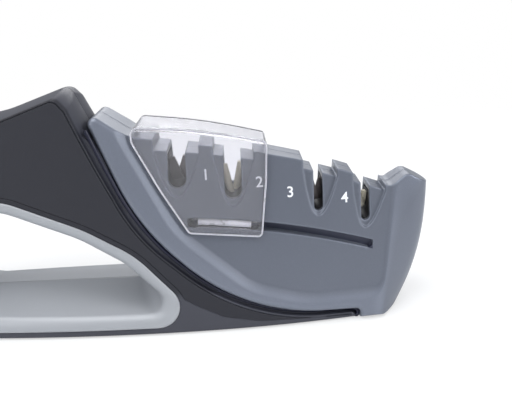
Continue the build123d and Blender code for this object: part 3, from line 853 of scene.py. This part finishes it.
# closed rings of points from the lip's edge over the roll, along the bore and back behind
def linerRings(values, node, side):
    outlines = {}
    for name in ("lip", "mouth", "seam"):
        outlines[name] = roundedOutline(
            values[name], values[name + "Radii"], values["arcSteps"], values["runSteps"])
    lip = grownOutline(outlines["lip"], -values["gap"])
    nearShare = values["nearShare"]
    farShare = values["farShare"]

    def bore(widths):
        return [inside.lerp(outside, width / values["mouthReach"])
                for inside, outside, width in zip(outlines["seam"], outlines["mouth"], widths)]

    def measured(goals, share):
        return [lipFace(node, side, point.lerp(goal, share), values["outside"])
                for point, goal in zip(lip, goals)]

    near = measured(outlines["mouth"], nearShare)
    inner = bore([width - values["rollDepth"] for width in near])
    low = measured(inner, nearShare)
    high = measured(inner, farShare)

    def face(share, depth):
        return [first + (second - first) * (share - nearShare) / (farShare - nearShare) - depth
                for first, second in zip(low, high)]

    rings = []
    start = values["edge"][-1][0]
    profile = list(values["edge"])
    for k in range(1, values["rollSteps"] + 1):
        turn = math.pi / 2 * k / values["rollSteps"]
        profile.append((start + (1 - start) * math.sin(turn), values["rollDepth"] * (1 - math.cos(turn))))
    for share, depth in profile:
        rings.append(([point.lerp(goal, share) for point, goal in zip(lip, inner)], face(share, depth)))
    deep = face(1.0, values["rollDepth"])
    for k in range(1, values["wallSteps"] + 1):
        widths = [max(values["seamGap"], width * (1 - k / values["wallSteps"])) for width in deep]
        rings.append((bore(widths), widths))
    under = face(0.0, values["flange"])
    rings.append((grownOutline(bore(widths), values["wall"]), widths))
    rings.append((grownOutline(bore(under), values["wall"]), under))
    rings.append((lip, under))
    return [[sidePoint(point, side, width) for point, width in zip(*ring)] for ring in rings]


def makeLiner(values, nodeName, pieceName, side):
    rings = linerRings(values, frame["nodes"][nodeName], side)
    count = len(rings[0])
    deselectAll()
    bpy.ops.mesh.primitive_circle_add(vertices=count, location=(0, 0, 0))
    piece = bpy.context.object
    piece.name = pieceName
    bpy.context.tool_settings.mesh_select_mode = (True, False, False)
    bpy.ops.object.mode_set(mode="EDIT")
    for k in range(1, len(rings)):
        bpy.ops.mesh.primitive_circle_add(vertices=count, location=(0, 0, 0))
    mesh = bmesh.from_edit_mesh(piece.data)
    for vertex, place in zip(mesh.verts, [place for ring in rings for place in ring]):
        vertex.co = place
    bmesh.update_edit_mesh(piece.data)
    for k in range(len(rings)):
        pair = (k, (k + 1) % len(rings))
        bpy.ops.mesh.select_all(action="DESELECT")
        mesh = bmesh.from_edit_mesh(piece.data)
        for vertex in mesh.verts:
            vertex.select_set(vertex.index // count in pair)
        mesh.select_flush(True)
        bpy.ops.mesh.bridge_edge_loops()
    bpy.ops.mesh.select_all(action="SELECT")
    bpy.ops.mesh.normals_make_consistent(inside=False)
    bpy.ops.object.mode_set(mode="OBJECT")
    bpy.ops.object.shade_smooth_by_angle(angle=values["smoothAngle"])
    print(pieceName, "faces", len(piece.data.polygons), "of", count * len(rings))
    piece.data.materials.append(finishes["loop_grey"])
    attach(piece, "sharpener")
    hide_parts(nodeName)


makeLiner(linerValues, "loop_liner_front", "rolledLinerFront", -1)
makeLiner(linerValues, "loop_liner_rear", "rolledLinerRear", 1)
print("liner rolled")


# screws of the base, with a cross recess and a shank
screwValues = {
    "headRadius": 0.0024,
    "headThick": 0.0012,
    "shankRadius": 0.0011,
    "shankLong": 0.0037,
    "headRound": 0.0003,
    "headFrom": 0.0011,
    "crossLong": 0.0028,
    "crossWide": 0.0006,
    "crossDeep": 0.0007,
    "around": 48,
    "roundSteps": 4,
    "roundProfile": 0.6,
    "smoothAngle": 0.6,
    "facingUp": 0.9,       # faces with more than this much of their normal upwards are the top
    "level": 0.00001,      # edges within this of the head's height are its rim
    "spots": [
        # name, x, y, turn of the cross
        ("left", -0.084, 0.009, 0.35), ("middle", 0.008, 0.012, 1.05), ("right", 0.090, 0.0055, 0.70),
    ],
}


def makeScrew(values):
    deselectAll()
    bpy.ops.mesh.primitive_cylinder_add(
        vertices=values["around"], radius=values["headRadius"], depth=values["headThick"],
        location=(0, 0, values["headFrom"] + values["headThick"] / 2),
    )
    piece = bpy.context.object
    bpy.ops.object.transform_apply(location=True, rotation=True, scale=True)
    bpy.ops.object.mode_set(mode="EDIT")
    bpy.ops.mesh.select_all(action="DESELECT")
    bpy.ops.object.mode_set(mode="OBJECT")
    for face in piece.data.polygons:
        face.select = face.normal.z > values["facingUp"]
    bpy.ops.object.mode_set(mode="EDIT")
    bpy.ops.mesh.select_mode(type="FACE")
    bpy.ops.mesh.inset(thickness=values["headRadius"] - values["shankRadius"])
    bpy.ops.mesh.extrude_region_move(TRANSFORM_OT_translate={"value": (0, 0, values["shankLong"])})
    bpy.ops.mesh.select_all(action="DESELECT")
    bpy.ops.object.mode_set(mode="OBJECT")
    for edge in piece.data.edges:
        ends = [piece.data.vertices[index].co for index in edge.vertices]
        edge.select = all(abs(end.z - values["headFrom"]) < values["level"] for end in ends)
    bpy.ops.object.mode_set(mode="EDIT")
    bpy.ops.mesh.select_mode(type="EDGE")
    bpy.ops.mesh.bevel(
        offset=values["headRound"], segments=values["roundSteps"], profile=values["roundProfile"])
    bpy.ops.object.mode_set(mode="OBJECT")
    for turn in (0.0, math.pi / 2):
        deselectAll()
        bpy.ops.mesh.primitive_cube_add(size=1.0, location=(0, 0, values["headFrom"]), rotation=(0, 0, turn))
        cutter = bpy.context.object
        cutter.scale = (values["crossLong"], values["crossWide"], 2 * values["crossDeep"])
        deselectAll()
        piece.select_set(True)
        bpy.context.view_layer.objects.active = piece
        cut = piece.modifiers.new("cross", "BOOLEAN")
        cut.operation = "DIFFERENCE"
        cut.solver = "EXACT"
        cut.object = cutter
        bpy.ops.object.modifier_apply(modifier=cut.name)
        bpy.data.objects.remove(cutter)
    bpy.ops.object.shade_smooth_by_angle(angle=values["smoothAngle"])
    piece.data.materials.clear()
    piece.data.materials.append(finishes["screw_steel"])
    return piece


def placeScrews(values):
    first = makeScrew(values)
    for name, x, y, turn in values["spots"]:
        for side, sideName in ((-1, "front"), (1, "rear")):
            piece = first.copy()
            piece.data = first.data.copy()
            bpy.context.scene.collection.objects.link(piece)
            piece.name = "crossScrew" + name.capitalize() + sideName.capitalize()
            deselectAll()
            piece.select_set(True)
            bpy.context.view_layer.objects.active = piece
            piece.rotation_euler = (0, 0, turn * side)
            piece.location = (x, side * y, 0)
            bpy.ops.object.transform_apply(location=True, rotation=True, scale=True)
            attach(piece, "sharpener")
            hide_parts("base_screw_" + name + "_" + sideName)
    bpy.data.objects.remove(first)


placeScrews(screwValues)
print("base screws placed")


# numerals beside the slots
numeralValues = {
    "height": 0.0042,      # figure height
    "capShare": 0.7,       # of the text size, in Blender's own font
    "thick": 0.00006,      # ink stands this far off the face
    "bold": 0.00007,
    "faceHalf": 0.0294,    # the sunken face: y = lean * z + yaw * x - faceHalf
    "lean": 0.25,
    "yaw": 0.10,
    "spots": [
        # figure, x, z
        ("1", 0.0237, 0.0620), ("2", 0.0444, 0.0578), ("3", 0.0566, 0.0530), ("4", 0.0786, 0.0492),
    ],
    "ink": dict(
        colour=(0.80, 0.82, 0.86), roughness=0.5, spread=0.1, tint=0.12,
        grainScale=2400.0, patchScale=600.0),
}


def makeInk(values):
    mat, tree, bsdf = newMaterial("printedWhite")
    grain, tint = grainAndTint(tree, objectPlace(tree), values)
    tree.links.new(tint["Colour"], bsdf.inputs["Base Color"])
    tree.links.new(tint["Roughness"], bsdf.inputs["Roughness"])
    return mat


def makeNumerals(values):
    ink = makeInk(values["ink"])
    outward = Vector((values["yaw"], -1.0, values["lean"])).normalized()
    across = Vector((1.0, values["yaw"], 0.0)).normalized()
    upward = outward.cross(across).normalized()
    for figure, x, z in values["spots"]:
        y = values["lean"] * z + values["yaw"] * x - values["faceHalf"]
        deselectAll()
        bpy.ops.object.text_add(location=(0, 0, 0))
        piece = bpy.context.object
        piece.data.body = figure
        piece.data.size = values["height"] / values["capShare"]
        piece.data.align_x = "CENTER"
        piece.data.align_y = "CENTER"
        piece.data.extrude = values["thick"] / 2
        piece.data.offset = values["bold"]
        bpy.ops.object.convert(target="MESH")
        piece = bpy.context.object
        piece.name = "slotNumeral" + figure
        spot = Vector((x, y, z)) + outward * values["thick"] / 2
        piece.matrix_world = Matrix((
            (across.x, upward.x, outward.x, spot.x),
            (across.y, upward.y, outward.y, spot.y),
            (across.z, upward.z, outward.z, spot.z),
            (0.0, 0.0, 0.0, 1.0),
        ))
        bpy.ops.object.transform_apply(location=True, rotation=True, scale=True)
        piece.data.materials.clear()
        piece.data.materials.append(ink)
        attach(piece, "sharpener")


makeNumerals(numeralValues)
print("numerals made")
